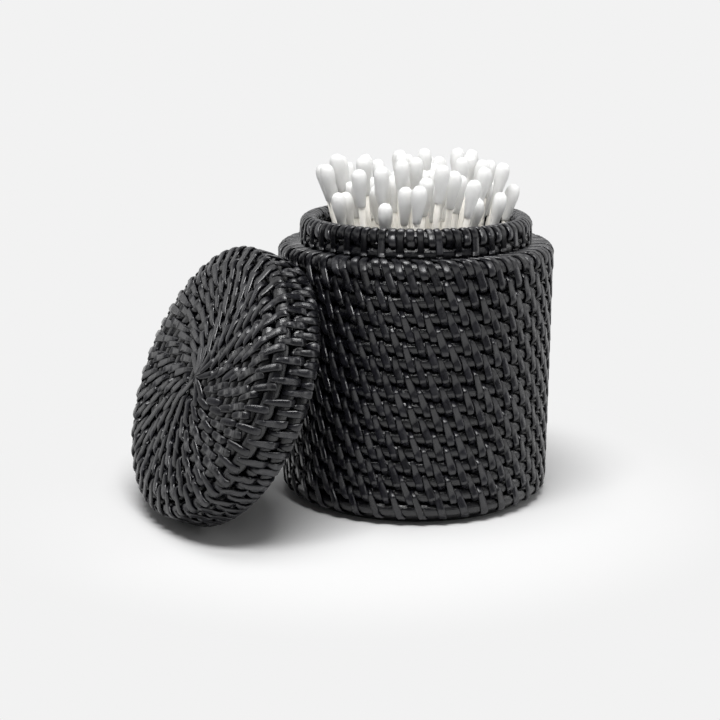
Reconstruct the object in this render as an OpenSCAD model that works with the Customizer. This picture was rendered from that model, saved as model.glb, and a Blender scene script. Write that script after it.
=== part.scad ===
// Round lidded canister of coiled rattan, with its lid leaning against the
// side and a bunch of cotton swabs standing in it.
// Millimetres, +Z up. The origin is on the floor, on the canister's axis.
// The front is towards -Y.

/* [Canister] */
// Outside diameter over the binding, at the shoulder
body_d = 100; // [90:1:120]
// How much the outside radius narrows from the shoulder down to the foot
body_taper = 0.7; // [0:0.1:2]
// Number of cane coils up the wall
wall_rows = 17; // [14:1:20]
// Diameter of the cane that is coiled
cane_d = 5.4; // [5.2:0.1:5.6]
// How far each coil is pressed into the next one
cane_press = 0.14; // [0.1:0.01:0.2]
// How much of the lowest coil is worn flat where the canister stands
foot_flat = 0.3; // [0.2:0.05:0.5]
// Height of the lowest wall coil above the foot coil, which stands a little inside it
foot_lift = 3.14; // [3:0.02:3.4]
// Height of the base coils above the foot coil, which leaves room for their binding
base_lift = 1.2; // [1.1:0.05:1.5]

/* [Neck] */
// Step inwards from the wall to the neck that the lid slips over
neck_inset = 7.95; // [7:0.05:9]
// Number of cane coils that stand above the ledge
neck_rows = 2; // [1:1:4]
// Angle at which the ledge coil sits below the shoulder coil
ledge_angle = 2; // [0:1:10]

/* [Binding] */
// Thickness of the binding strips
strip_t = 0.7; // [0.4:0.05:1]
// Width of the binding strips
strip_w = 2.3; // [1.6:0.1:2.4]
// Stitches in each row round the wall
wall_stitches = 39; // [30:1:42]
// Slant of the stitches from upright
stitch_slant = 18; // [5:1:20]
// Length of a wall stitch in coil pitches
stitch_span = 1.65; // [1.3:0.05:1.75]
// Sideways step from one row of stitches to the next, in stitch pitches
stitch_step = 0.55; // [0.5:0.01:0.58]
// Long strips down the neck, each with a short one beside it
neck_stitches = 40; // [30:1:44]
// Gap between a strip and the cane that it lies on
strip_fit = 0.08; // [0.06:0.01:0.12]

/* [Lid] */
// Outside diameter over the binding
lid_d = 98.6; // [94:0.2:100]
// Number of cane coils in the skirt below the rounded edge
lid_skirt_rows = 2; // [1:1:4]
// How far the coil at the rounded edge lies inside the skirt
lid_edge_inset = 0.3; // [0:0.1:1]
// Slope from the flat top down to the coil at the rounded edge
lid_edge_slope = 19.5; // [15:0.5:30]
// Spacing of the stitches round the lid
lid_stitch_pitch = 6.2; // [5.5:0.1:8]
// Number of strips in the star at the middle
star_strips = 16; // [10:1:18]
// Length of a stitch on a flat coiled face in coil pitches
face_span = 0.86; // [0.7:0.01:0.88]
// Slant of the stitches on a flat coiled face
face_slant = 12; // [0:1:14]

/* [Lean of the lid] */
// Side that the lid leans on, counted from the left side to the front
lean_side = 29.6; // [0:0.1:60]
// Angle of the lid from upright
lean_angle = 23.8; // [15:0.1:30]
// Sideways place of the lid on the wall
lean_offset = 3.6; // [-6:0.1:6]
// Gap between the lid and the wall it leans on
lean_gap = 0.3; // [0.2:0.05:0.5]

/* [Swabs] */
// Number of swabs
swabs = 76; // [60:1:78]
// Length of a swab
swab_l = 106; // [100:1:112]
// Diameter of the paper stick
stick_d = 2.2; // [1.8:0.1:2.4]
// Diameter of the cotton bud
bud_d = 5.2; // [4.4:0.1:5.4]
// Length of the cotton bud
bud_l = 13.5; // [11:0.5:14]
// Depth of the stick in the bud
bud_grip = 8; // [5:0.5:9]
// Gap between the stick and the cotton round it
bud_fit = 0.03; // [0.02:0.01:0.05]
// Radius of the bunch at its foot
bunch_foot_r = 13; // [12.6:0.1:13.4]
// How far the outermost swabs stay inside the neck at the rim
bunch_margin = 3.45; // [3.3:0.05:3.8]
// Turn of the bunch between its foot and the rim
bunch_twist = 35; // [25:1:36]
// Scatter of the swabs at the rim
bunch_scatter = 1; // [0:0.1:1.1]
// How far single swabs stand up from the base, held by the others
bunch_rise = 14; // [6:0.5:14]

/* [Hidden] */
$fn = 64;

cane_r = cane_d / 2;
pitch = cane_d - cane_press;
bound_r = cane_r + strip_fit + strip_t;     // a coil with its binding

// wall: coil centres up to the shoulder, and the foot coil that the canister stands on
foot_z = cane_r - foot_flat;
wall_foot_z = foot_z + foot_lift;
shoulder_z = wall_foot_z + (wall_rows - 1) * pitch;
shoulder_r = body_d / 2 - bound_r;
wall_foot_r = shoulder_r - body_taper;
foot_r = wall_foot_r - sqrt(pitch * pitch - foot_lift * foot_lift);
function wall_r(i) = wall_foot_r + body_taper * i / (wall_rows - 1);
function wall_z(i) = wall_foot_z + i * pitch;

// base: a flat spiral of coils inside the foot coil, shown as rings about a middle knot
base_r = foot_r - sqrt(pitch * pitch - base_lift * base_lift);
base_rings = ceil(base_r / pitch);
base_pitch = base_r / base_rings;
base_z = foot_z + base_lift;

// neck: a ledge coil inside the shoulder and the coils that stand on it
neck_r = shoulder_r - neck_inset;
ledge_reach = cane_d + strip_fit;
ledge_r = shoulder_r - ledge_reach * cos(ledge_angle);
ledge_z = shoulder_z - ledge_reach * sin(ledge_angle);
neck_z = ledge_z + sqrt(pitch * pitch - pow(ledge_r - neck_r, 2));
rim_z = neck_z + (neck_rows - 1) * pitch;

// lid, in its own frame: the outside of its flat top at z = 0, the open side down
lid_top_z = -bound_r;
lid_r = lid_d / 2 - bound_r;
edge_r = lid_r - lid_edge_inset;
edge_z = lid_top_z - pitch * sin(lid_edge_slope);
flat_r = edge_r - pitch * cos(lid_edge_slope);
lid_rings = ceil(flat_r / pitch);
lid_pitch = flat_r / lid_rings;
skirt_z = edge_z - sqrt(pitch * pitch - lid_edge_inset * lid_edge_inset);
open_z = skirt_z - (lid_skirt_rows - 1) * pitch;

// lean: the lowest coil of the skirt stands on the floor and leans on the wall
open_centre_z = lid_r * cos(lean_angle) + bound_r;
wall_reach = sqrt(pow(body_d / 2 + bound_r + lean_gap, 2) - pow(lean_offset, 2));
open_centre_x = wall_reach + lid_r * sin(lean_angle);

// swabs: a sunflower pattern, spread and turned from the foot to the rim
golden_angle = 137.508;
bunch_foot_z = base_z + cane_r + stick_d * 0.2;
bunch_rim_r = neck_r - cane_r - bunch_margin;

function noise(i, kind) = let (v = sin(i * 78.233 + kind * 37.719) * 43758.5) v - floor(v);

// a strip that lies on two coils, its length along X and its outside towards +Z
module strip(l, w) {
    bevel = strip_t * 0.8;
    rotate([90, 0, 0])
        linear_extrude(height = w, center = true)
            polygon([[-l / 2, 0], [l / 2, 0], [l / 2 - bevel, strip_t], [bevel - l / 2, strip_t]]);
}

// a strip from the coil centred at (r1, z1) to the one at (r2, z2), turned to the angle a
module stitch(r1, z1, r2, z2, a, l, slant, side = 1) {
    run = norm([r2 - r1, z2 - z1]);
    out = side * (cane_r + strip_fit) / run;
    rotate([0, 0, a])
        translate([(r1 + r2) / 2 - (z2 - z1) * out, 0, (z1 + z2) / 2 + (r2 - r1) * out])
            rotate([0, atan2(z1 - z2, r2 - r1), 0])
                rotate([side > 0 ? 0 : 180, 0, slant])
                    strip(l, strip_w);
}

// part of a turn of strip about the coil centred at (r, z), from the angle a1 to a2
module wrap(r, z, a, a1, a2, w) {
    rotate([0, 0, a])
        translate([r, 0, z])
            rotate([90, 0, 0])
                rotate([0, 0, a1])
                    rotate_extrude(angle = a2 - a1)
                        translate([cane_r + strip_fit, -w / 2])
                            square([strip_t, w]);
}

// rows of stitches and a star in the middle, on a flat face of coils
module face_stitches(rings, ring_pitch, z, side) {
    for (j = [1 : rings - 1]) {
        mid_r = (j + 0.5) * ring_pitch;
        count = round(2 * PI * mid_r / lid_stitch_pitch);
        for (i = [0 : count - 1])
            stitch(j * ring_pitch, z, (j + 1) * ring_pitch, z, (i + j / 2) * 360 / count,
                face_span * ring_pitch, face_slant, side);
    }
    star_r = ring_pitch;
    star_half = PI * star_r / star_strips * 0.8;
    for (i = [0 : star_strips - 1])
        rotate([0, 0, i * 360 / star_strips])
            translate([0, 0, z + (side > 0 ? cane_r + strip_fit : -cane_r - strip_fit - strip_t)])
                linear_extrude(height = strip_t)
                    polygon([[0.6, -0.05], [star_r, -star_half], [star_r, star_half], [0.6, 0.05]]);
}

// rings of cane about a middle knot, as a profile to be turned
module flat_rings(rings, ring_pitch, z) {
    for (j = [1 : rings])
        translate([j * ring_pitch, z])
            circle(r = cane_r);
}

// cane: base and wall, one continuous coil
module body_coil() {
    color("#2b2b2f")
        difference() {
            union() {
                rotate_extrude()
                    for (i = [0 : wall_rows - 1])
                        translate([wall_r(i), wall_z(i)])
                            circle(r = cane_r);
                rotate_extrude() {
                    translate([foot_r, foot_z])
                        circle(r = cane_r);
                    flat_rings(base_rings, base_pitch, base_z);
                }
                translate([0, 0, base_z])
                    sphere(r = cane_r);
            }
            translate([0, 0, -cane_d])
                cylinder(r = body_d, h = cane_d);
        }
}

// strips over each pair of coils of the wall, with the turns over the shoulder
module wall_binding() {
    color("#3a3a3e")
        for (k = [0 : wall_rows - 2]) {
            low = wall_rows - 2 - k;
            for (i = [0 : wall_stitches - 1])
                stitch(wall_r(low + 1), wall_z(low + 1), wall_r(low), wall_z(low),
                    (i + k * stitch_step) * 360 / wall_stitches, stitch_span * pitch, stitch_slant);
        }
    color("#3a3a3e")
        for (i = [0 : wall_stitches - 1])
            wrap(shoulder_r, shoulder_z, (i - stitch_step / 2) * 360 / wall_stitches, 50, 130, strip_w);
}

// strips under the base
module base_binding() {
    color("#3a3a3e")
        face_stitches(base_rings, base_pitch, base_z, -1);
}

// cane: the ledge and the neck, a second coil inside the shoulder
module neck_coil() {
    color("#2b2b2f")
        rotate_extrude() {
            translate([ledge_r, ledge_z])
                circle(r = cane_r);
            for (i = [0 : neck_rows - 1])
                translate([neck_r, neck_z + i * pitch])
                    circle(r = cane_r);
        }
}

// turns of strip over the rim, and a long strip down the neck below every second one
module neck_binding() {
    turn = 180 / neck_stitches;
    leg_top = rim_z - cane_r * 0.4;
    leg_foot = ledge_z + cane_r + strip_fit;
    color("#3a3a3e")
        for (i = [0 : neck_stitches - 1]) {
            wrap(neck_r, rim_z, 2 * i * turn, -8, 215, strip_w);
            wrap(neck_r, rim_z, (2 * i + 1) * turn, -8, 215, strip_w);
            rotate([0, 0, 2 * i * turn])
                translate([neck_r + cane_r + strip_fit, 0, (leg_top + leg_foot) / 2])
                    rotate([0, 90, 0])
                        strip(leg_top - leg_foot, strip_w);
        }
}

// carries the lid from its own frame to where it leans
module leaning() {
    rotate([0, 0, lean_side])
        translate([-open_centre_x, lean_offset, open_centre_z])
            rotate([0, lean_angle - 90, 0])
                translate([0, 0, -open_z])
                    children();
}

// cane: top and skirt of the lid, one continuous coil
module lid_coil() {
    color("#2b2b2f")
        leaning() {
            rotate_extrude() {
                flat_rings(lid_rings, lid_pitch, lid_top_z);
                translate([edge_r, edge_z])
                    circle(r = cane_r);
                for (i = [0 : lid_skirt_rows - 1])
                    translate([lid_r, skirt_z - i * pitch])
                        circle(r = cane_r);
            }
            translate([0, 0, lid_top_z])
                sphere(r = cane_r);
        }
}

// strips over the lid: its flat top, its rounded edge and its skirt
module lid_binding() {
    count = round(2 * PI * lid_r / lid_stitch_pitch);
    turn = 360 / count;
    span = face_span * pitch;
    color("#3a3a3e")
        leaning() {
            face_stitches(lid_rings, lid_pitch, lid_top_z, 1);
            for (i = [0 : count - 1]) {
                stitch(flat_r, lid_top_z, edge_r, edge_z, i * turn, span, 0);
                stitch(edge_r, edge_z, lid_r, skirt_z, (i + 0.5) * turn, span, 0);
                for (k = [0 : 1 : lid_skirt_rows - 2])
                    stitch(lid_r, skirt_z - k * pitch, lid_r, skirt_z - (k + 1) * pitch,
                        (i + k / 2) * turn, span, 0);
                wrap(lid_r, open_z, (i + lid_skirt_rows / 2) * turn, -130, -20, strip_w);
            }
        }
}

// carries a swab from its own frame, its foot at the origin and its axis up, to its place
module each_swab() {
    for (i = [0 : swabs - 1]) {
        share = sqrt((i + 0.5) / swabs);
        turn = i * golden_angle;
        foot = share * bunch_foot_r * [cos(turn), sin(turn)];
        rim = share * bunch_rim_r * [cos(turn + bunch_twist), sin(turn + bunch_twist)];
        scatter = bunch_scatter * [noise(i, 1) - 0.5, noise(i, 2) - 0.5];
        lean = rim + scatter - foot;
        axis = [lean[0], lean[1], rim_z - bunch_foot_z] / norm([lean[0], lean[1], rim_z - bunch_foot_z]);
        translate([foot[0], foot[1], bunch_foot_z] + axis * bunch_rise * noise(i, 3))
            rotate([0, acos(axis[2]), atan2(axis[1], axis[0])])
                children();
    }
}

// paper sticks, their upper ends inside the buds
module swab_sticks() {
    color("#e9e6de")
        each_swab()
            cylinder(d = stick_d, h = swab_l - bud_l + bud_grip);
}

// cotton buds, each bored for its stick
module swab_buds() {
    grip_r = stick_d / 2 + bud_fit;
    bore_l = bud_grip + bud_fit;
    hem_r = grip_r + 0.25;
    color("white")
        each_swab()
            translate([0, 0, swab_l - bud_l])
                rotate_extrude()
                    polygon([
                        [0, bore_l], [grip_r, bore_l], [grip_r, 0], [hem_r, 0],
                        [bud_d * 0.49, bud_l * 0.35], [bud_d / 2, bud_l * 0.7],
                        [bud_d * 0.38, bud_l * 0.92], [bud_d * 0.18, bud_l], [0, bud_l]
                    ]);
}

body_coil();
wall_binding();
base_binding();
neck_coil();
neck_binding();
lid_coil();
lid_binding();
swab_sticks();
swab_buds();
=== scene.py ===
import math

import bmesh
import bpy
from mathutils import Matrix, Vector, noise


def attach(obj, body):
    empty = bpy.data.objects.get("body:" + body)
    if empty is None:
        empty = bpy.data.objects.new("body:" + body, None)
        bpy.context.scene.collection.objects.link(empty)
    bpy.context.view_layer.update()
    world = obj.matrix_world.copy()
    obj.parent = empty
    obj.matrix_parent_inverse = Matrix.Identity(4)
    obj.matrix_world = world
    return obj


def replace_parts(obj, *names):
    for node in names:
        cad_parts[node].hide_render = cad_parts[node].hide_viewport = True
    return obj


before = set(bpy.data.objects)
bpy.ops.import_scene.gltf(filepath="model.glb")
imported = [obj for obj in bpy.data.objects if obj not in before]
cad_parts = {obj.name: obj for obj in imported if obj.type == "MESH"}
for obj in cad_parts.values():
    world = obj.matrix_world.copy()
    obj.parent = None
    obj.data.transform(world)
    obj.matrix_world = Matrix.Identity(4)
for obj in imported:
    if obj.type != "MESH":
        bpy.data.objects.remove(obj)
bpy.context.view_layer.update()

# Canister, base and wall: one length of round cane, coiled flat for the base and then
# up the wall. It is black lacquered rattan, and each coil is held to the next by the
# binding. The lowest wall coil overhangs the coil that the canister stands on.
MM = 0.001
CANE_R = 2.7
COIL_PITCH = 5.26
WALL_ROWS = 17
WALL_FOOT = (45.82, 5.54)
WALL_TAPER = 0.7
FOOT_RING = (41.6, 2.4)
BASE_Z = 3.6
BASE_RINGS = 7
BASE_PITCH = 5.211
RING_STEPS = 180
CANE_SIDES = 12
# the grown cane is not quite even: share of its thickness, and bumps for each millimetre
CANE_SWELL = 0.022
SWELL_SCALE = 0.13


def chance(number, kind):
    """A repeatable number from 0 to 1 for each piece and kind of use."""
    value = math.sin(number * 12.9898 + kind * 78.233) * 43758.5453
    return value - math.floor(value)


def make_ring():
    """One turn of cane of unit radius, round its axis, to be fitted to each turn of the coil."""
    bm = bmesh.new()
    uv = bm.loops.layers.uv.new("UVMap")
    place = Matrix.Translation((1, 0, 0)) @ Matrix.Rotation(math.pi / 2, 4, "X")
    section = bmesh.ops.create_circle(bm, segments=CANE_SIDES, radius=0.5, matrix=place)["verts"]
    edges = list({edge for vert in section for edge in vert.link_edges})
    bmesh.ops.spin(
        bm, geom=section + edges, cent=(0, 0, 0), axis=(0, 0, 1), angle=math.tau,
        steps=RING_STEPS, use_merge=True,
    )
    for face in bm.faces:
        middle = face.calc_center_median()
        middle_turn = math.atan2(middle.y, middle.x)
        middle_side = math.atan2(middle.z, math.hypot(middle.x, middle.y) - 1)
        for loop in face.loops:
            at = loop.vert.co
            turn = math.atan2(at.y, at.x) - middle_turn
            side = math.atan2(at.z, math.hypot(at.x, at.y) - 1) - middle_side
            turn -= math.tau * round(turn / math.tau)
            side -= math.tau * round(side / math.tau)
            loop[uv].uv = (middle_turn + turn, middle_side + side)
    bmesh.ops.recalc_face_normals(bm, faces=bm.faces)
    mesh = bpy.data.meshes.new("ring_blank")
    bm.to_mesh(mesh)
    bm.free()
    return mesh


ring_blank = make_ring()


def add_ring(bm, ring_r, ring_z, number):
    """A turn of cane in its place, a little uneven in thickness as the grown cane is."""
    tone = bm.verts.layers.float["tone"]
    first = len(bm.verts)
    bm.from_mesh(ring_blank)
    bm.verts.ensure_lookup_table()
    begin = math.tau * chance(number, 21)
    for vert in bm.verts[first:]:
        side_r = (math.hypot(vert.co.x, vert.co.y) - 1) * 2
        side_z = vert.co.z * 2
        turn = math.atan2(vert.co.y, vert.co.x) + begin
        outward = Vector((math.cos(turn), math.sin(turn), 0))
        along = outward * ring_r * SWELL_SCALE + Vector((0, 0, 9.7 * number))
        thick = CANE_R * (1 + CANE_SWELL * noise.noise(along))
        vert.co = outward * (ring_r + side_r * thick) + Vector((0, 0, ring_z + side_z * thick))
        vert[tone] = chance(number, 22)


def finish_mesh(bm, name, place=None):
    """Turns millimetres into metres, moves the mesh to its place and makes the object."""
    if place is not None:
        bmesh.ops.transform(bm, matrix=place, verts=bm.verts)
    bmesh.ops.scale(bm, vec=(MM, MM, MM), verts=bm.verts)
    bmesh.ops.recalc_face_normals(bm, faces=bm.faces)
    mesh = bpy.data.meshes.new(name)
    bm.to_mesh(mesh)
    bm.free()
    for polygon in mesh.polygons:
        polygon.use_smooth = True
    piece = bpy.data.objects.new(name, mesh)
    bpy.context.scene.collection.objects.link(piece)
    return piece


def add_node(nodes, kind, **values):
    """A shader node, with its settings by name and its inputs by the socket's name."""
    made = nodes.new(kind)
    for key, value in values.items():
        if hasattr(made, key):
            setattr(made, key, value)
        else:
            made.inputs[key.replace("_", " ")].default_value = value
    return made


def make_grain():
    """Rattan: fine fibres along the cane, and slow changes of the lacquer over them."""
    group = bpy.data.node_groups.new("rattan_grain", "ShaderNodeTree")
    sockets = group.interface
    sockets.new_socket("Surface", in_out="INPUT", socket_type="NodeSocketVector")
    sockets.new_socket("Seed", in_out="INPUT", socket_type="NodeSocketFloat")
    sockets.new_socket("Fibre scale", in_out="INPUT", socket_type="NodeSocketVector")
    sockets.new_socket("Patch scale", in_out="INPUT", socket_type="NodeSocketVector")
    sockets.new_socket("Fibre", in_out="OUTPUT", socket_type="NodeSocketFloat")
    sockets.new_socket("Patch", in_out="OUTPUT", socket_type="NodeSocketFloat")
    nodes, links = group.nodes, group.links
    given = nodes.new("NodeGroupInput")
    result = nodes.new("NodeGroupOutput")
    for name, detail in (("Fibre", 5), ("Patch", 3)):
        stretch = add_node(nodes, "ShaderNodeVectorMath", operation="MULTIPLY")
        links.new(given.outputs["Surface"], stretch.inputs[0])
        links.new(given.outputs[name + " scale"], stretch.inputs[1])
        texture = add_node(nodes, "ShaderNodeTexNoise", noise_dimensions="4D", Scale=1, Detail=detail)
        texture.inputs["Roughness"].default_value = 0.62
        links.new(stretch.outputs["Vector"], texture.inputs["Vector"])
        links.new(given.outputs["Seed"], texture.inputs["W"])
        spread = add_node(nodes, "ShaderNodeMapRange")
        spread.inputs["From Min"].default_value = 0.3
        spread.inputs["From Max"].default_value = 0.7
        links.new(texture.outputs["Fac"], spread.inputs["Value"])
        links.new(spread.outputs["Result"], result.inputs[name])
    return group


rattan_grain = make_grain()


def make_rattan(name, fibre_scale, patch_scale, dark, light, gloss, fibre_depth, shine):
    """Black lacquer over rattan: nearly black, with the fibres showing through it."""
    material = bpy.data.materials.new(name)
    material.use_nodes = True
    nodes, links = material.node_tree.nodes, material.node_tree.links
    shader = nodes["Principled BSDF"]
    surface = add_node(nodes, "ShaderNodeUVMap", uv_map="UVMap")
    grain = add_node(nodes, "ShaderNodeGroup")
    grain.node_tree = rattan_grain
    grain.inputs["Fibre scale"].default_value = fibre_scale
    grain.inputs["Patch scale"].default_value = patch_scale
    links.new(surface.outputs["UV"], grain.inputs["Surface"])
    blend = add_node(nodes, "ShaderNodeMath", operation="MULTIPLY")
    links.new(grain.outputs["Fibre"], blend.inputs[0])
    links.new(grain.outputs["Patch"], blend.inputs[1])
    seed = add_node(nodes, "ShaderNodeAttribute", attribute_name="tone")
    spread = add_node(nodes, "ShaderNodeMath", operation="MULTIPLY")
    spread.inputs[1].default_value = 97
    links.new(seed.outputs["Fac"], spread.inputs[0])
    links.new(spread.outputs["Value"], grain.inputs["Seed"])
    tone = add_node(nodes, "ShaderNodeMath", operation="MULTIPLY_ADD")
    tone.inputs[1].default_value = 0.6
    links.new(seed.outputs["Fac"], tone.inputs[0])
    links.new(blend.outputs["Value"], tone.inputs[2])
    colour = add_node(nodes, "ShaderNodeMix", data_type="RGBA")
    colour.inputs["A"].default_value = (*dark, 1)
    colour.inputs["B"].default_value = (*light, 1)
    links.new(tone.outputs["Value"], colour.inputs["Factor"])
    links.new(colour.outputs["Result"], shader.inputs["Base Color"])
    rough = add_node(nodes, "ShaderNodeMapRange")
    rough.inputs["To Min"].default_value = gloss[0]
    rough.inputs["To Max"].default_value = gloss[1]
    links.new(grain.outputs["Patch"], rough.inputs["Value"])
    links.new(rough.outputs["Result"], shader.inputs["Roughness"])
    bump = add_node(nodes, "ShaderNodeBump", Strength=1.0, Distance=fibre_depth * MM)
    links.new(grain.outputs["Fibre"], bump.inputs["Height"])
    links.new(bump.outputs["Normal"], shader.inputs["Normal"])
    shader.inputs["Specular IOR Level"].default_value = shine
    return material


cane_lacquer = make_rattan(
    "cane_lacquer", fibre_scale=(5.4, 7, 1), patch_scale=(9, 1.35, 1),
    dark=(0.001, 0.001, 0.0015), light=(0.006, 0.006, 0.009),
    gloss=(0.07, 0.18), fibre_depth=0.075, shine=0.66,
)

wall_coils = [
    (WALL_FOOT[0] + WALL_TAPER * row / (WALL_ROWS - 1), WALL_FOOT[1] + row * COIL_PITCH)
    for row in range(WALL_ROWS)
]
base_coils = [(ring * BASE_PITCH, BASE_Z) for ring in range(1, BASE_RINGS + 1)]


def make_cane(name, coils, knot_z=None, place=None):
    """Turns of cane lying on each other, with a knot in the middle of a flat coil."""
    bm = bmesh.new()
    bm.loops.layers.uv.new("UVMap")
    bm.verts.layers.float.new("tone")
    for number, (ring_r, ring_z) in enumerate(coils):
        add_ring(bm, ring_r, ring_z, number)
    if place is None:
        # the foot coil is worn flat where the canister stands
        for vert in bm.verts:
            vert.co.z = max(vert.co.z, 0)
    if knot_z is not None:
        bmesh.ops.create_uvsphere(
            bm, u_segments=16, v_segments=10, radius=CANE_R, matrix=Matrix.Translation((0, 0, knot_z)),
        )
    piece = finish_mesh(bm, name, place)
    piece.data.materials.append(cane_lacquer)
    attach(piece, "root")
    return piece


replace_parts(make_cane("body_cane", base_coils + [FOOT_RING] + wall_coils, BASE_Z), "body_coil")

# Wall binding: flat strips split from the cane's skin and lacquered with it. Each stitch
# comes out of the gap above one coil, runs slanting over it and the next one down, and is
# pulled in below that, so that two coils are always held together.
STRIP_FIT = 0.08
STRIP_T = 0.62
STRIP_W = 2.75
WALL_STITCHES = 39
STITCH_STEP = 0.55
STITCH_SLANT = math.radians(18)
STRIP_STATIONS = (0, 0.09, 0.19, 0.29, 0.5, 0.71, 0.8, 0.89, 0.96, 1)
# angles round a coil, in degrees up from straight outwards: where a stitch comes out of the
# gap above the upper coil and goes in below the lower one, or under the lowest coil of all
STITCH_START = 64
STITCH_END = -66
LOWEST_END = -110
# how much single strips differ in their ends, slant, width, tilt and place
START_SPREAD = 0.12
END_SPREAD = 0.16
SLANT_SPREAD = 0.09
WIDTH_SPREAD = 0.16
TILT_SPREAD = 0.3
PLACE_SPREAD = 0.5
# how far the broad end of a strip stands proud and is pulled in again at its tip
STRIP_PROUD = 0.2
STRIP_TUCK = 0.25
# outline of a strip across, as shares of its width and thickness
STRIP_PROFILE = ((0.5, 0.5), (0.3, 1), (-0.3, 1), (-0.5, 0.5), (-0.44, -0.06), (0.44, -0.06))


def make_strip(name, stations):
    """One strip of unit size, straight and flat, to be laid over the coils."""
    bm = bmesh.new()
    uv = bm.loops.layers.uv.new("UVMap")
    ring = bmesh.ops.create_circle(bm, cap_ends=True, segments=len(STRIP_PROFILE), radius=1)["verts"]
    for vert, (across, height) in zip(ring, STRIP_PROFILE):
        vert.co = (across, 0, height)
    end = bm.faces[:]
    for before, after in zip(stations, stations[1:]):
        grown = bmesh.ops.extrude_face_region(bm, geom=end, use_keep_orig=before == stations[0])["geom"]
        bmesh.ops.translate(
            bm, vec=(0, after - before, 0),
            verts=[part for part in grown if isinstance(part, bmesh.types.BMVert)],
        )
        end = [part for part in grown if isinstance(part, bmesh.types.BMFace)]
    for face in bm.faces:
        for loop in face.loops:
            loop[uv].uv = (loop.vert.co.y, loop.vert.co.x)
    bmesh.ops.recalc_face_normals(bm, faces=bm.faces)
    mesh = bpy.data.meshes.new(name)
    bm.to_mesh(mesh)
    bm.free()
    return mesh


short_strip = make_strip("strip_blank", STRIP_STATIONS)


def coil_point(coils, start, run):
    """Where a taut strip is after a run from its start angle on the first coil, and its outside."""
    reach = CANE_R + STRIP_FIT
    angle = start
    for (r1, z1), (r2, z2) in zip(coils, coils[1:]):
        heading = math.atan2(z2 - z1, r2 - r1)
        outside = heading + math.pi / 2
        while outside > angle + 0.01:
            outside -= math.tau
        arc = (angle - outside) * reach
        if run < arc:
            break
        run -= arc
        angle = outside
        between = math.hypot(r2 - r1, z2 - z1)
        if run < between:
            normal = (math.cos(angle), math.sin(angle))
            along = (math.cos(heading), math.sin(heading))
            return (r1 + normal[0] * reach + along[0] * run, z1 + normal[1] * reach + along[1] * run), normal
        run -= between
        r1, z1 = r2, z2
    else:
        r1, z1 = coils[-1]
    angle -= run / reach
    normal = (math.cos(angle), math.sin(angle))
    return (r1 + normal[0] * reach, z1 + normal[1] * reach), normal


def strip_run(coils, start, end):
    """Length of a taut strip from its start angle on the first coil to its end angle on the last."""
    reach = CANE_R + STRIP_FIT
    length, angle = 0, start
    for (r1, z1), (r2, z2) in zip(coils, coils[1:]):
        outside = math.atan2(z2 - z1, r2 - r1) + math.pi / 2
        while outside > angle + 0.01:
            outside -= math.tau
        length += (angle - outside) * reach + math.hypot(r2 - r1, z2 - z1)
        angle = outside
    return length + (angle - end) * reach


def smooth(low, high, value):
    """A soft step from 0 at low to 1 at high."""
    share = min(1, max(0, (value - low) / (high - low)))
    return share * share * (3 - 2 * share)


def lay_strip(
    bm, blank, coils, angles, turn, number, slant=0.0, width=STRIP_W, start_width=0.6, sink=0.35,
):
    """Bends a blank over the coils: narrow and low at its start, broad and proud at its end."""
    start, end = math.radians(angles[0]), math.radians(angles[1])
    start += START_SPREAD * (chance(number, 1) - 0.5)
    end += END_SPREAD * (chance(number, 2) - 0.5)
    slant += SLANT_SPREAD * (chance(number, 3) - 0.5)
    width *= 1 + WIDTH_SPREAD * (chance(number, 4) - 0.5)
    tilt = TILT_SPREAD * (chance(number, 5) - 0.5)
    shift = PLACE_SPREAD * (chance(number, 6) - 0.5)
    length = strip_run(coils, start, end)
    tone = bm.verts.layers.float["tone"]
    first = len(bm.verts)
    bm.from_mesh(blank)
    bm.verts.ensure_lookup_table()
    for vert in bm.verts[first:]:
        side, along, height = vert.co
        broad = start_width + (1 - start_width) * smooth(0, 0.55, along)
        broad *= 1 - 0.08 * smooth(0.93, 1, along)
        across = side * width * broad
        run = length * along - across * math.sin(slant)
        sway = (along - 0.5) * length * math.tan(slant) + across * math.cos(slant) + shift
        rise = STRIP_T * height + tilt * side * smooth(0, 0.4, along)
        rise -= sink * (1 - smooth(0, 0.3, along))
        rise += STRIP_PROUD * smooth(0.6, 0.85, along) - STRIP_TUCK * smooth(0.95, 1, along)
        (reach_r, reach_z), normal = coil_point(coils, start, run)
        place_r = reach_r + normal[0] * rise
        angle = turn + sway / max(reach_r, 2.5)
        vert.co = (place_r * math.cos(angle), place_r * math.sin(angle), reach_z + normal[1] * rise)
        vert[tone] = chance(number, 7)


strip_lacquer = make_rattan(
    "strip_lacquer", fibre_scale=(1.6, 16, 1), patch_scale=(3, 2, 1),
    dark=(0.002, 0.002, 0.0035), light=(0.012, 0.012, 0.016),
    gloss=(0.2, 0.4), fibre_depth=0.025, shine=0.7,
)


def start_binding():
    """An empty mesh for strips, which keeps a tone of its own for each strip."""
    bm = bmesh.new()
    bm.loops.layers.uv.new("UVMap")
    bm.verts.layers.float.new("tone")
    return bm


def finish_binding(bm, name, node, place=None):
    """Makes the strips one piece in the place of the plain stitches."""
    piece = finish_mesh(bm, name, place)
    piece.data.materials.append(strip_lacquer)
    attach(piece, "root")
    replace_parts(piece, node)


bm = start_binding()
for row in range(1, WALL_ROWS - 1):
    upper = WALL_ROWS - 1 - row
    end = LOWEST_END if upper == 1 else STITCH_END
    for stitch in range(WALL_STITCHES):
        turn = (stitch + row * STITCH_STEP) * math.tau / WALL_STITCHES
        lay_strip(
            bm, short_strip, [wall_coils[upper], wall_coils[upper - 1]], (STITCH_START, end), turn,
            row * WALL_STITCHES + stitch, STITCH_SLANT,
        )

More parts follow.
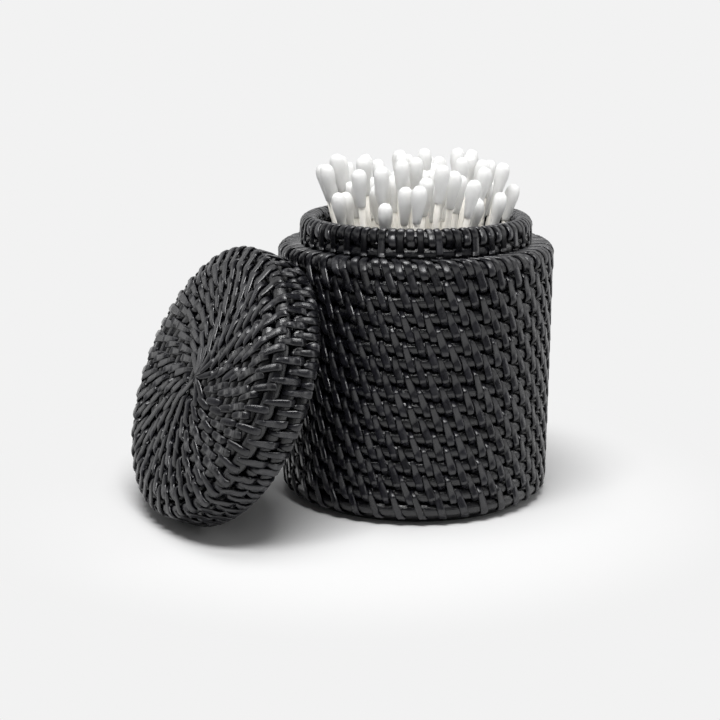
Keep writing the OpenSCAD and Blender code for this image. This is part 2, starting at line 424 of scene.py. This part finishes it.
# the shoulder is wound close: each strip starts on the ledge, and every second one is long
LEDGE_COIL = (41.04, 89.51)
SHOULDER_LEAD = math.radians(2.4)
LEDGE_START = 112
SHORT_END = -64
EVEN_STATIONS = tuple(share / 13 for share in range(14))
long_strip = make_strip("long_strip_blank", EVEN_STATIONS)
shoulder = [LEDGE_COIL, wall_coils[-1], wall_coils[-2]]
for stitch in range(WALL_STITCHES):
    turn = stitch * math.tau / WALL_STITCHES
    lay_strip(
        bm, long_strip, shoulder, (LEDGE_START, STITCH_END), turn - SHOULDER_LEAD, stitch,
        STITCH_SLANT, start_width=0.9, sink=0.1,
    )
    lay_strip(
        bm, long_strip, shoulder[:2], (LEDGE_START, SHORT_END),
        turn - SHOULDER_LEAD + math.pi / WALL_STITCHES, 1000 + stitch,
        STITCH_SLANT, start_width=0.9, sink=0.1,
    )
finish_binding(bm, "wall_strips", "wall_binding")

# Base binding: the same strips under the flat coil of the base, in rings that meet at the
# middle. They are pulled in between the coils, clear of the surface that it stands on.
STITCH_PITCH = 6.2
FACE_SLANT = math.radians(12)
UNDER_ANGLES = (-40, -140)

bm = start_binding()
number = 2000
for ring in range(2, BASE_RINGS + 1):
    outer, inner = base_coils[ring - 1], base_coils[ring - 2]
    count = round(math.pi * (outer[0] + inner[0]) / STITCH_PITCH)
    for stitch in range(count):
        turn = (stitch + ring / 2) * math.tau / count
        lay_strip(
            bm, short_strip, [outer, inner], UNDER_ANGLES, turn, number,
            FACE_SLANT, start_width=0.8, sink=0.1,
        )
        number += 1
finish_binding(bm, "base_strips", "base_binding")

# Neck: a second coil of the same cane that starts on the ledge inside the shoulder and
# rises two turns above it. The lid slips over it.
NECK_COILS = ((38.57, 94.15), (38.57, 99.41))

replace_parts(make_cane("neck_cane", [LEDGE_COIL, *NECK_COILS]), "neck_coil")

# Neck binding: strips wound close together round the rim. Every second one is long and
# runs on over the coil below, down to the ledge, and the short ones end under the rim.
NECK_STITCHES = 40
LONG_ANGLES = (205, -36)
SHORT_ANGLES = (205, -66)

bm = start_binding()
for stitch in range(NECK_STITCHES):
    turn = stitch * math.tau / NECK_STITCHES
    lay_strip(
        bm, long_strip, [NECK_COILS[1], NECK_COILS[0]], LONG_ANGLES, turn, 3000 + stitch,
        0.03, width=2.5, start_width=1,
    )
    lay_strip(
        bm, long_strip, [NECK_COILS[1]], SHORT_ANGLES, turn + math.pi / NECK_STITCHES, 3100 + stitch,
        0.12, width=2.7, start_width=1,
    )
finish_binding(bm, "neck_strips", "neck_binding")

# Lid: cane coiled flat from a knot in the middle, turned down over a rounded edge into a
# skirt two coils deep. It leans on the wall of the canister with its open side towards it.
LID_RINGS = 8
LID_PITCH = 5.07
LID_TOP_Z = -3.48
LID_EDGE = (45.52, -5.236)
LID_SKIRT = ((45.82, -10.487), (45.82, -15.747))
LEAN_SIDE = math.radians(29.6)
LEAN_ANGLE = math.radians(23.8)
LEAN_OFFSET = 3.6
WALL_OUTSIDE = 50
LEAN_GAP = 0.3
BOUND_R = 3.48

lid_coils = [(ring * LID_PITCH, LID_TOP_Z) for ring in range(1, LID_RINGS + 1)] + [LID_EDGE, *LID_SKIRT]
lid_r, open_z = LID_SKIRT[-1]
wall_reach = math.sqrt((WALL_OUTSIDE + BOUND_R + LEAN_GAP) ** 2 - LEAN_OFFSET ** 2)
open_centre = Vector((
    -wall_reach - lid_r * math.sin(LEAN_ANGLE), LEAN_OFFSET, lid_r * math.cos(LEAN_ANGLE) + BOUND_R,
))
leaning = (
    Matrix.Rotation(LEAN_SIDE, 4, "Z") @ Matrix.Translation(open_centre)
    @ Matrix.Rotation(LEAN_ANGLE - math.pi / 2, 4, "Y") @ Matrix.Translation((0, 0, -open_z))
)

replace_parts(make_cane("lid_cane", lid_coils, LID_TOP_Z, leaning), "lid_coil")

# Lid binding: a star of strips that spread from the knot, then rings of broad stitches
# that lie so close that little cane shows, each over two coils, down to the open edge.
STAR_STRIPS = 15
LID_STRIP_W = 2.75
LID_SLANT = math.radians(22)
SKIRT_SLANT = math.radians(12)
# how far along a gap in one row the next row's stitch stands, on the flat top and the skirt
FACE_LEAD = 0.9
SKIRT_LEAD = 0.7
# angles from straight out of the face, in degrees, to a stitch's ends and round the open edge
STITCH_REACH = 62
OPEN_REACH = 100
OPEN_START = 60



def next_row(turns, row_r, lead):
    """Turns of the next row's stitches, one for each gap in the last row and two in some gaps."""
    placed, spare = [], 0
    for turn, following in zip(turns, turns[1:] + [turns[0] + math.tau]):
        spare += (following - turn) * row_r / STITCH_PITCH
        count = max(1, int(spare))
        spare -= count
        placed += [turn + (following - turn) * (share + lead) / count for share in range(count)]
    for _ in range(4):
        before = [placed[-1] - math.tau] + placed[:-1]
        after = placed[1:] + [placed[0] + math.tau]
        placed = [(low + 2 * turn + high) / 4 for low, turn, high in zip(before, placed, after)]
    return placed


bm = start_binding()
number = 4000
turns = [stitch * math.tau / STAR_STRIPS for stitch in range(STAR_STRIPS)]
for turn in turns:
    lay_strip(
        bm, short_strip, [(0, LID_TOP_Z), lid_coils[0], lid_coils[1]], (90, 60), turn,
        number, width=2.5, start_width=0.45, sink=-0.1,
    )
    number += 1
for row in range(1, len(lid_coils) - 1):
    inner, outer = lid_coils[row], lid_coils[row + 1]
    heading = math.degrees(math.atan2(outer[1] - inner[1], outer[0] - inner[0])) + 90
    last = row == len(lid_coils) - 2
    on_face = row < LID_RINGS - 1
    slant = LID_SLANT if on_face else SKIRT_SLANT
    turns = next_row(turns, (outer[0] + inner[0]) / 2, FACE_LEAD if on_face else SKIRT_LEAD)
    angles = (heading + STITCH_REACH, heading - (OPEN_REACH if last else STITCH_REACH))
    for turn in turns:
        lay_strip(
            bm, short_strip, [inner, outer], angles, turn, number,
            slant, width=LID_STRIP_W,
        )
        number += 1
        if last:
            lay_strip(
                bm, long_strip, [outer], (OPEN_START, -OPEN_REACH), turn + math.pi / len(turns), number,
                slant, width=LID_STRIP_W,
            )
            number += 1

# the runs of the same strips that show inside the lid, pulled in between its flat coils
for ring in range(1, LID_RINGS):
    outer, inner = lid_coils[ring], lid_coils[ring - 1]
    count = round(math.pi * (outer[0] + inner[0]) / STITCH_PITCH)
    for stitch in range(count):
        turn = (stitch + ring / 2) * math.tau / count
        lay_strip(
            bm, short_strip, [outer, inner], UNDER_ANGLES, turn, number,
            FACE_SLANT, start_width=0.8, sink=0.1,
        )
        number += 1
finish_binding(bm, "lid_strips", "lid_binding", leaning)

# Swabs, sticks: rolled paper, with the lower ends on the base and the bunch spread and
# turned a little between the base and the rim, as a handful of them stands.
SWABS = 76
SWAB_L = 106
STICK_R = 1.1
BUD_L = 13.5
BUD_GRIP = 8
BUNCH_FOOT_R = 13
BUNCH_RIM_R = 32.42
BUNCH_TWIST = math.radians(35)
BUNCH_RISE = 14
BUNCH_FOOT_Z = 6.74
RIM_Z = NECK_COILS[1][1]


def swab_chance(number, kind):
    """The same scatter that the plain swabs have."""
    value = math.sin(math.radians(number * 78.233 + kind * 37.719)) * 43758.5
    return value - math.floor(value)


def swab_places():
    """For each swab the matrix that stands it, axis up, in its place."""
    places = []
    for number in range(SWABS):
        share = math.sqrt((number + 0.5) / SWABS)
        turn = math.radians(number * 137.508)
        foot = Vector((math.cos(turn), math.sin(turn), 0)) * share * BUNCH_FOOT_R
        rim_turn = turn + BUNCH_TWIST
        rim = Vector((math.cos(rim_turn), math.sin(rim_turn), 0)) * share * BUNCH_RIM_R
        scatter = Vector((swab_chance(number, 1) - 0.5, swab_chance(number, 2) - 0.5, 0))
        axis = (rim + scatter - foot + Vector((0, 0, RIM_Z - BUNCH_FOOT_Z))).normalized()
        start = foot + Vector((0, 0, BUNCH_FOOT_Z)) + axis * BUNCH_RISE * swab_chance(number, 3)
        towards = Matrix.Rotation(math.atan2(axis.y, axis.x), 4, "Z")
        lean = Matrix.Rotation(math.acos(axis.z), 4, "Y")
        places.append(Matrix.Translation(start) @ towards @ lean)
    return places


def make_paper():
    """White paper, rolled tight, with faint turns of the roll along the stick."""
    material = bpy.data.materials.new("rolled_paper")
    material.use_nodes = True
    nodes, links = material.node_tree.nodes, material.node_tree.links
    shader = nodes["Principled BSDF"]
    surface = add_node(nodes, "ShaderNodeTexCoord")
    texture = add_node(nodes, "ShaderNodeTexNoise", Scale=700, Detail=3)
    links.new(surface.outputs["Object"], texture.inputs["Vector"])
    colour = add_node(nodes, "ShaderNodeMix", data_type="RGBA")
    colour.inputs["A"].default_value = (0.74, 0.71, 0.65, 1)
    colour.inputs["B"].default_value = (0.86, 0.84, 0.79, 1)
    links.new(texture.outputs["Fac"], colour.inputs["Factor"])
    links.new(colour.outputs["Result"], shader.inputs["Base Color"])
    shader.inputs["Roughness"].default_value = 0.75
    bump = add_node(nodes, "ShaderNodeBump", Strength=0.5, Distance=0.05 * MM)
    links.new(texture.outputs["Fac"], bump.inputs["Height"])
    links.new(bump.outputs["Normal"], shader.inputs["Normal"])
    return material


bm = bmesh.new()
for place in swab_places():
    stick_l = SWAB_L - BUD_L + BUD_GRIP
    bmesh.ops.create_cone(
        bm, cap_ends=True, segments=14, radius1=STICK_R, radius2=STICK_R, depth=stick_l,
        matrix=place @ Matrix.Translation((0, 0, stick_l / 2)),
    )
sticks = finish_mesh(bm, "paper_sticks")
sticks.data.materials.append(make_paper())
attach(sticks, "root")
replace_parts(sticks, "swab_sticks")

# Swabs, buds: cotton wool wound on the end of each stick, thin where it starts on the
# stick, fullest near the top and round at the tip. No two are wound quite alike.
BUD_R = 2.6
# radius and height of a bud from its hem up to its tip, as shares of its size
BUD_OUTLINE = (
    (0, 0.02), (0.48, 0), (0.53, 0.03), (0.6, 0.14), (0.7, 0.3), (0.83, 0.45), (0.95, 0.58), (1, 0.7),
    (0.98, 0.81), (0.86, 0.9), (0.62, 0.965), (0.32, 0.992), (0, 1),
)


def make_cotton():
    """Cotton wool: white, matt, with fine fibres and soft hollows, with a little painted shade that makes
    the hollows darker.
    """
    material = bpy.data.materials.new("cotton_wool")
    material.use_nodes = True
    nodes, links = material.node_tree.nodes, material.node_tree.links
    shader = nodes["Principled BSDF"]
    surface = add_node(nodes, "ShaderNodeTexCoord")
    fibre = add_node(nodes, "ShaderNodeTexNoise", Scale=2200, Detail=4, Distortion=1.5)
    hollow = add_node(nodes, "ShaderNodeTexNoise", Scale=500, Detail=2)
    links.new(surface.outputs["Object"], fibre.inputs["Vector"])
    links.new(surface.outputs["Object"], hollow.inputs["Vector"])
    height = add_node(nodes, "ShaderNodeMath", operation="MULTIPLY_ADD")
    height.inputs[1].default_value = 0.35
    links.new(fibre.outputs["Fac"], height.inputs[0])
    links.new(hollow.outputs["Fac"], height.inputs[2])
    # painted shade: the colour follows the bump's hollows and is a little darker in them
    colour = add_node(nodes, "ShaderNodeMix", data_type="RGBA")
    colour.inputs["A"].default_value = (0.9, 0.9, 0.885, 1)
    colour.inputs["B"].default_value = (0.95, 0.95, 0.94, 1)
    links.new(hollow.outputs["Fac"], colour.inputs["Factor"])
    links.new(colour.outputs["Result"], shader.inputs["Base Color"])
    shader.inputs["Roughness"].default_value = 0.9
    shader.inputs["Specular IOR Level"].default_value = 0.2
    shader.inputs["Subsurface Weight"].default_value = 0.5
    shader.inputs["Subsurface Radius"].default_value = (1, 1, 1)
    shader.inputs["Subsurface Scale"].default_value = 2 * MM
    bump = add_node(nodes, "ShaderNodeBump", Strength=0.6, Distance=0.2 * MM)
    links.new(height.outputs["Value"], bump.inputs["Height"])
    links.new(bump.outputs["Normal"], shader.inputs["Normal"])
    return material


def make_bud():
    """A bud on its own, standing on its hem."""
    bm = bmesh.new()
    outline = [bm.verts.new((BUD_R * share_r, 0, BUD_L * share_l)) for share_r, share_l in BUD_OUTLINE]
    edges = [bm.edges.new(pair) for pair in zip(outline, outline[1:])]
    bmesh.ops.spin(
        bm, geom=outline + edges, cent=(0, 0, 0), axis=(0, 0, 1), angle=math.tau, steps=16, use_merge=True,
    )
    bmesh.ops.remove_doubles(bm, verts=bm.verts, dist=0.01)
    bmesh.ops.recalc_face_normals(bm, faces=bm.faces)
    mesh = bpy.data.meshes.new("bud_blank")
    bm.to_mesh(mesh)
    bm.free()
    return mesh


bud_blank = make_bud()
bm = bmesh.new()
for number, place in enumerate(swab_places()):
    first = len(bm.verts)
    bm.from_mesh(bud_blank)
    bm.verts.ensure_lookup_table()
    slim = 0.97 + 0.07 * chance(number, 11)
    for vert in bm.verts[first:]:
        dent = noise.noise(vert.co * 0.45 + Vector((7.3 * number, 0, 0)))
        vert.co.x *= slim * (1 + 0.06 * dent)
        vert.co.y *= slim * (1 + 0.06 * dent)
        vert.co = place @ (vert.co + Vector((0, 0, SWAB_L - BUD_L)))
buds = finish_mesh(bm, "cotton_buds")
buds.data.materials.append(make_cotton())
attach(buds, "root")
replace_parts(buds, "swab_buds")

# Studio: a wide pale floor that runs on into the background, a soft lamp overhead, a smaller
# and brighter one high in front that makes the glints, and a weak one on the right.
PAPER_WHITE = 0.888
FLOOR_LIT = 0.84
FLOOR_SIZE = 12
# the floor is plain background past these distances from the middle of the objects
FLOOR_MIDDLE = (-0.02, 0, 0)
LIT_TO = 0.085
PLAIN_FROM = 0.15
LAMP_TARGET = (0, 0, 0.06)


def make_floor():
    """Pale floor, lit near the object for its shadow, and plain background farther out."""
    material = bpy.data.materials.new("studio_floor")
    material.use_nodes = True
    nodes, links = material.node_tree.nodes, material.node_tree.links
    shader = nodes["Principled BSDF"]
    shader.inputs["Base Color"].default_value = (FLOOR_LIT, FLOOR_LIT, FLOOR_LIT, 1)
    shader.inputs["Roughness"].default_value = 0.9
    shader.inputs["Specular IOR Level"].default_value = 0
    plain = add_node(nodes, "ShaderNodeEmission", Color=(PAPER_WHITE, PAPER_WHITE, PAPER_WHITE, 1))
    surface = add_node(nodes, "ShaderNodeTexCoord")
    centre = add_node(nodes, "ShaderNodeVectorMath", operation="SUBTRACT")
    centre.inputs[1].default_value = FLOOR_MIDDLE
    away = add_node(nodes, "ShaderNodeVectorMath", operation="LENGTH")
    links.new(surface.outputs["Object"], centre.inputs[0])
    links.new(centre.outputs["Vector"], away.inputs[0])
    far = add_node(nodes, "ShaderNodeMapRange", interpolation_type="SMOOTHSTEP")
    far.inputs["From Min"].default_value = LIT_TO
    far.inputs["From Max"].default_value = PLAIN_FROM
    links.new(away.outputs["Value"], far.inputs["Value"])
    path = add_node(nodes, "ShaderNodeLightPath")
    seen = add_node(nodes, "ShaderNodeMath", operation="MAXIMUM")
    links.new(path.outputs["Is Camera Ray"], seen.inputs[0])
    links.new(path.outputs["Is Glossy Ray"], seen.inputs[1])
    share = add_node(nodes, "ShaderNodeMath", operation="MULTIPLY")
    links.new(far.outputs["Result"], share.inputs[0])
    links.new(seen.outputs["Value"], share.inputs[1])
    mix = add_node(nodes, "ShaderNodeMixShader")
    links.new(share.outputs["Value"], mix.inputs["Fac"])
    links.new(shader.outputs["BSDF"], mix.inputs[1])
    links.new(plain.outputs["Emission"], mix.inputs[2])
    links.new(mix.outputs["Shader"], nodes["Material Output"].inputs["Surface"])
    return material


bm = bmesh.new()
bmesh.ops.create_grid(bm, x_segments=1, y_segments=1, size=FLOOR_SIZE / MM / 2)
floor = finish_mesh(bm, "studio_floor")
floor.data.materials.append(make_floor())

# the room: a pale backdrop behind and at the sides, and darker towards the camera
ROOM_DARK = 0.12
ROOM_FILL = 0.18

world = bpy.data.worlds.new("studio")
bpy.context.scene.world = world
world.use_nodes = True
nodes, links = world.node_tree.nodes, world.node_tree.links
background = nodes["Background"]
direction = add_node(nodes, "ShaderNodeTexCoord")
part = add_node(nodes, "ShaderNodeSeparateXYZ")
links.new(direction.outputs["Generated"], part.inputs["Vector"])
behind = add_node(nodes, "ShaderNodeMapRange", interpolation_type="SMOOTHSTEP")
behind.inputs["From Min"].default_value = -0.45
behind.inputs["From Max"].default_value = 0.35
behind.inputs["To Min"].default_value = ROOM_DARK
behind.inputs["To Max"].default_value = PAPER_WHITE
links.new(part.outputs["Y"], behind.inputs["Value"])
path = add_node(nodes, "ShaderNodeLightPath")
mirrored = add_node(nodes, "ShaderNodeMix", data_type="RGBA")
mirrored.inputs["A"].default_value = (ROOM_FILL, ROOM_FILL, ROOM_FILL, 1)
links.new(path.outputs["Is Glossy Ray"], mirrored.inputs["Factor"])
links.new(behind.outputs["Result"], mirrored.inputs["B"])
level = add_node(nodes, "ShaderNodeMix", data_type="RGBA")
level.inputs["B"].default_value = (PAPER_WHITE, PAPER_WHITE, PAPER_WHITE, 1)
links.new(path.outputs["Is Camera Ray"], level.inputs["Factor"])
links.new(mirrored.outputs["Result"], level.inputs["A"])
links.new(level.outputs["Result"], background.inputs["Color"])


def add_softbox(name, place, size, power):
    """A soft lamp with straight sides that faces the canister."""
    lamp = bpy.data.lights.new(name, "AREA")
    lamp.shape = "RECTANGLE"
    lamp.size, lamp.size_y = size
    lamp.energy = power
    holder = bpy.data.objects.new(name, lamp)
    holder.location = place
    holder.rotation_euler = (Vector(LAMP_TARGET) - Vector(place)).to_track_quat("-Z", "Y").to_euler()
    bpy.context.scene.collection.objects.link(holder)


add_softbox("lamp_above", (0, -0.04, 0.95), (0.5, 0.34), 2.9)
add_softbox("lamp_front", (-0.07, -0.36, 0.89), (0.56, 0.18), 6.4)
add_softbox("lamp_right", (0.9, 0.1, 0.45), (0.5, 0.6), 1.5)

# Camera: level with the upper part of the scene and tipped down a little, as the
# photograph was taken. It has a long lens, with no turn and no shift.
FOCAL_PIXELS = 1535.17
FRAME_PIXELS = 720
SENSOR = 36
CAMERA_PLACE = (-0.02019, -0.55317, 0.17944)
CAMERA_DIP = 13.354

camera_data = bpy.data.cameras.new("camera")
camera_data.sensor_width = SENSOR
camera_data.lens = FOCAL_PIXELS / FRAME_PIXELS * SENSOR
camera = bpy.data.objects.new("camera", camera_data)
camera.location = CAMERA_PLACE
camera.rotation_euler = (math.radians(90 - CAMERA_DIP), 0, 0)
bpy.context.scene.collection.objects.link(camera)
bpy.context.scene.camera = camera
bpy.context.scene.view_settings.view_transform = "Standard"
